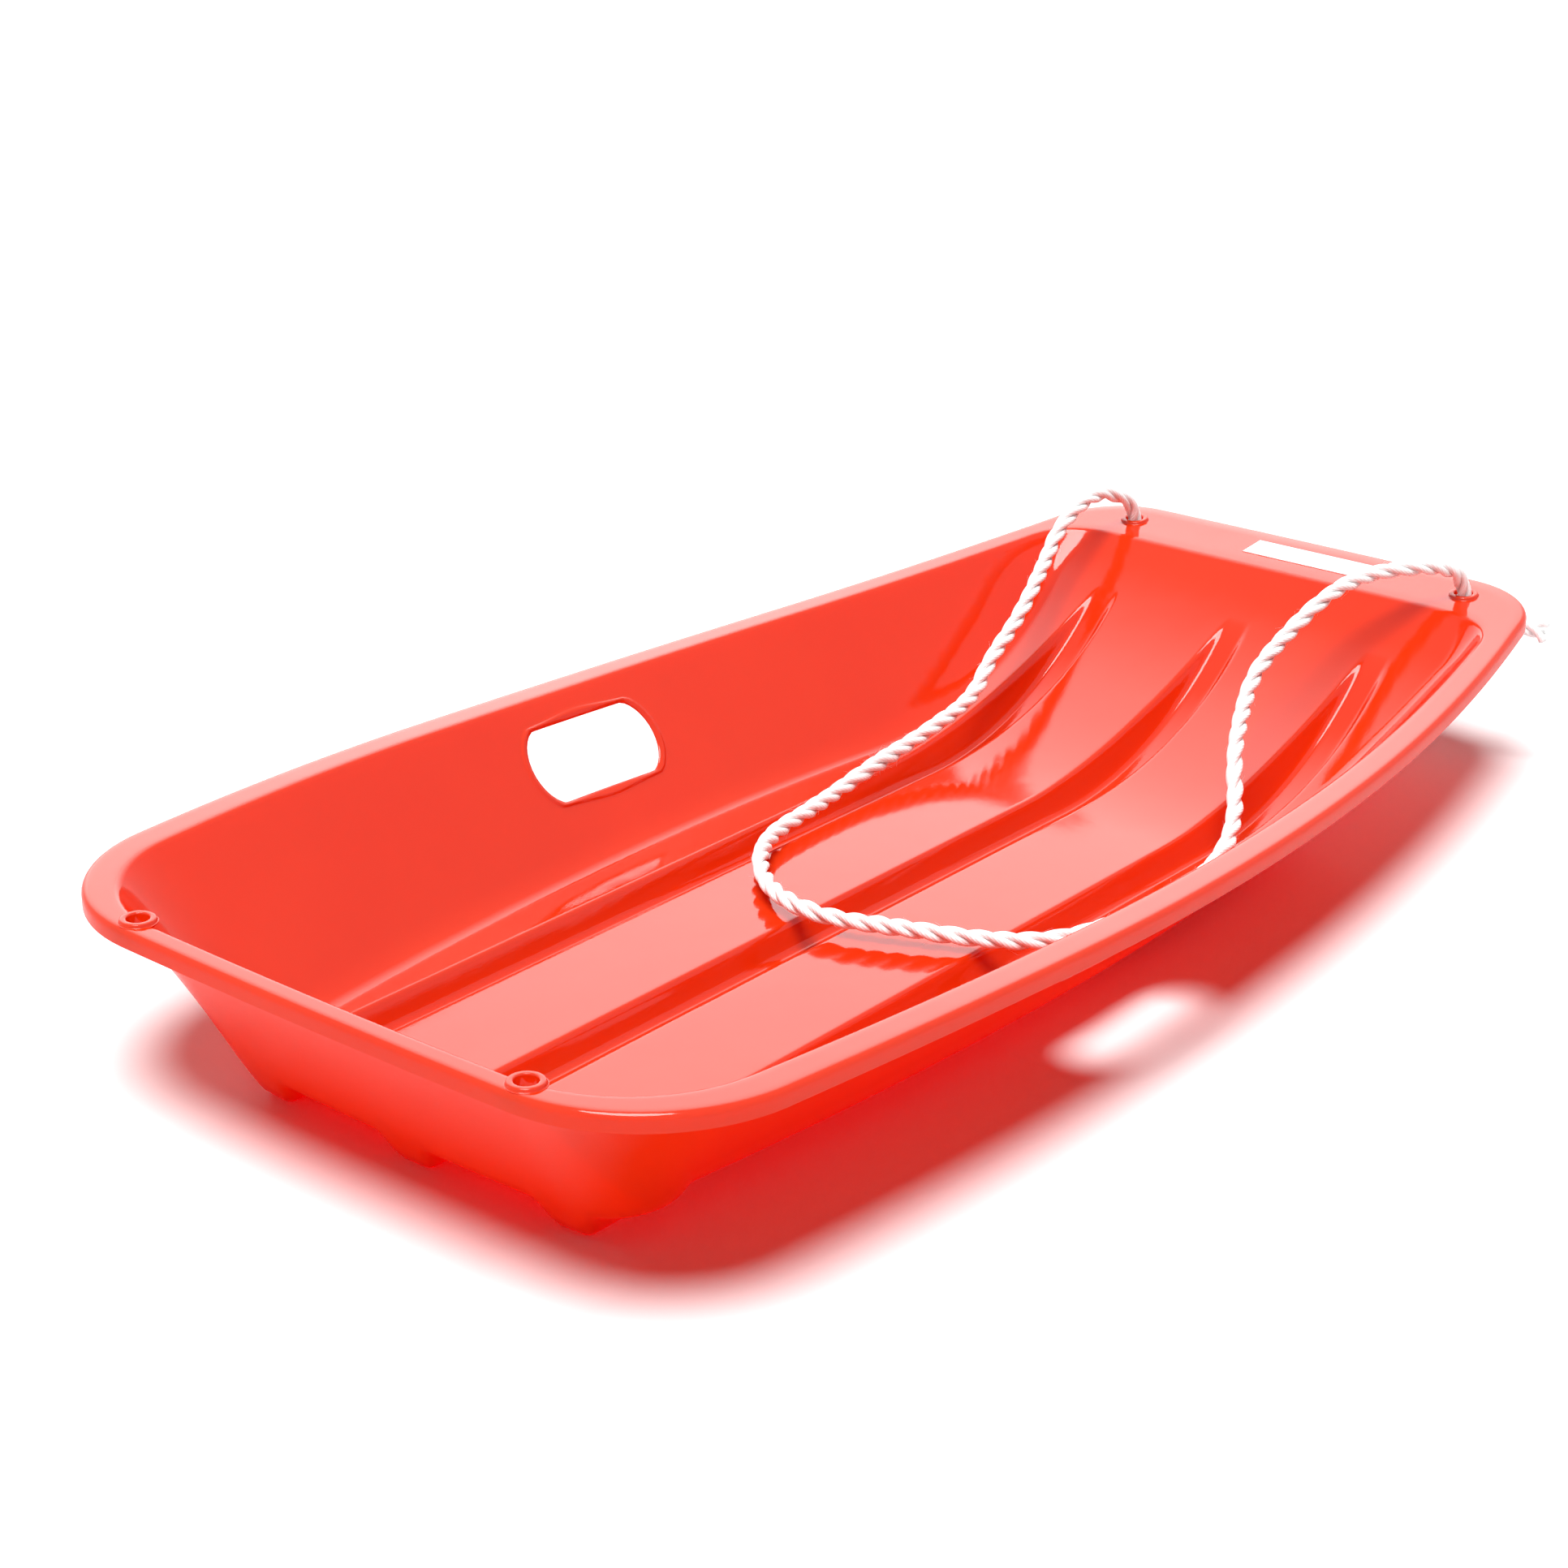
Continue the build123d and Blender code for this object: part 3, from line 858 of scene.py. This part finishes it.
def joined(name, parts):
    places = []
    faces = []
    for frame_of, (points, polygons) in parts:
        base = len(places)
        places.extend(tuple(frame_of @ Vector(point)) for point in points)
        faces.extend(tuple(base + index for index in polygon) for polygon in polygons)
    return mesh_object(name, places, faces)


def settle(thing, sharp):
    """Applies a piece's modifiers and shades it smooth up to an angle."""
    graph = bpy.context.evaluated_depsgraph_get()
    mesh = bpy.data.meshes.new_from_object(thing.evaluated_get(graph))
    thing.modifiers.clear()
    thing.data = mesh
    mesh.polygons.foreach_set("use_smooth", [True] * len(mesh.polygons))
    mesh.set_sharp_from_angle(angle=math.radians(sharp))
    mesh.update()


tub = build_tub()
thicken = tub.modifiers.new("wall", "SOLIDIFY")
thicken.thickness = WALL * MM
thicken.offset = -1.0
thicken.use_even_offset = True
thicken.thickness_clamp = 0.0
settle(tub, 40.0)

plug_profile = [(0.01, -8.0), (7.0, -8.0), (7.0, 6.0), (0.01, 6.0)]
seats = [flange_frame(x, y) for x, y in EYELETS]
plugs = joined("eyelet_cutters", [(seat, revolve(plug_profile, 32)) for seat in seats])
cut = tub.modifiers.new("eyelets", "BOOLEAN")
cut.operation = "DIFFERENCE"
cut.solver = "EXACT"
cut.object = plugs
settle(tub, 40.0)
bpy.data.objects.remove(plugs)

# both profiles run so that their faces point outwards
ring_profile = [
    *((7.2, -3.2), (9.6, -0.4), (9.6, -0.05), (9.2, 0.06), (8.95, 0.4), (8.85, 0.9), (8.6, 1.4)),
    *((8.2, 1.7), (7.7, 1.8), (6.4, 1.8), (5.95, 1.68), (5.62, 1.35), (5.5, 0.9), (5.5, -3.2)),
]
rings = joined("eyelet_rings", [(seat, revolve(ring_profile, 48)) for seat in seats])
settle(rings, 50.0)
for piece in (tub, rings):
    piece.data.materials.clear()
    piece.data.materials.append(PLASTIC)

# model.glb's own label, moved along the flange and kept on its surface
label = nodes["label"].copy()
label.data = nodes["label"].data.copy()
label.name = "blank_label"
bpy.context.scene.collection.objects.link(label)
front_edge = max(vertex.co.x for vertex in label.data.vertices)
rear_edge = min(vertex.co.x for vertex in label.data.vertices)
for vertex in label.data.vertices:
    back = (front_edge - vertex.co.x) * LABEL_DEPTH * MM / (front_edge - rear_edge)
    moved = LABEL_FRONT * MM - back
    vertex.co.z += (rim_height(moved / MM) - rim_height(vertex.co.x / MM)) * MM
    vertex.co.x = moved
for slot in label.material_slots:
    slot.material = VINYL

# ---- floor and light ----------------------------------------------------------------------------
floor = mesh_object("floor", [(-12, -12, 0), (12, -12, 0), (12, 12, 0), (-12, 12, 0)], [(0, 1, 2, 3)])
paper, _, paper_shader = new_material("pale_floor")
paper_shader.inputs["Base Color"].default_value = (0.92, 0.92, 0.92, 1.0)
paper_shader.inputs["Roughness"].default_value = 0.9
paper_shader.inputs["Specular IOR Level"].default_value = 0.1
floor.data.materials.append(paper)

world = bpy.data.worlds.new("studio")
bpy.context.scene.world = world
world.use_nodes = True
sky = world.node_tree
backdrop = sky.nodes["Background"]
backdrop.inputs["Color"].default_value = (1.0, 1.0, 1.0, 1.0)
# brighter towards one side for shiny surfaces, faint for matt ones, and white to the camera
look = add_node(sky, "ShaderNodeTexCoord")
towards = add_node(sky, "ShaderNodeVectorMath", operation="DOT_PRODUCT")
towards.inputs[1].default_value = (0.560, 0.640, 0.526)
sky.links.new(look.outputs["Generated"], towards.inputs[0])
sweep = ramp(sky, towards.outputs["Value"], 0.76, 0.94, 1.2, 4.4)
rays = add_node(sky, "ShaderNodeLightPath")
dimmed = ramp(sky, rays.outputs["Is Diffuse Ray"], 0.0, 1.0, 1.0, 0.02)
strength = add_node(sky, "ShaderNodeMath", operation="MULTIPLY")
sky.links.new(sweep, strength.inputs[0])
sky.links.new(dimmed, strength.inputs[1])
plain = add_node(sky, "ShaderNodeMath", operation="MAXIMUM")
sky.links.new(strength.outputs["Value"], plain.inputs[0])
sky.links.new(rays.outputs["Is Camera Ray"], plain.inputs[1])
sky.links.new(plain.outputs["Value"], backdrop.inputs["Strength"])

key_data = bpy.data.lights.new("overhead", "SUN")
key_data.energy = 4.6
key_data.angle = math.radians(32.0)
key = bpy.data.objects.new("overhead", key_data)
bpy.context.scene.collection.objects.link(key)
key.matrix_world = Vector((-0.25, -0.08, 1.0)).to_track_quat("Z", "Y").to_matrix().to_4x4()

bpy.context.scene.view_settings.view_transform = "Standard"

# ---- pieces on their body ---------------------------------------------------------------------
for piece in (tow_rope, rope_fuzz, left_knot, right_knot):
    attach(piece, "root")
for piece in (tub, rings):
    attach(piece, "root")
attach(label, "root")
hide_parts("label")
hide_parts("tub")
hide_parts("tow_rope")
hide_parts("left_knot")
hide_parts("right_knot")
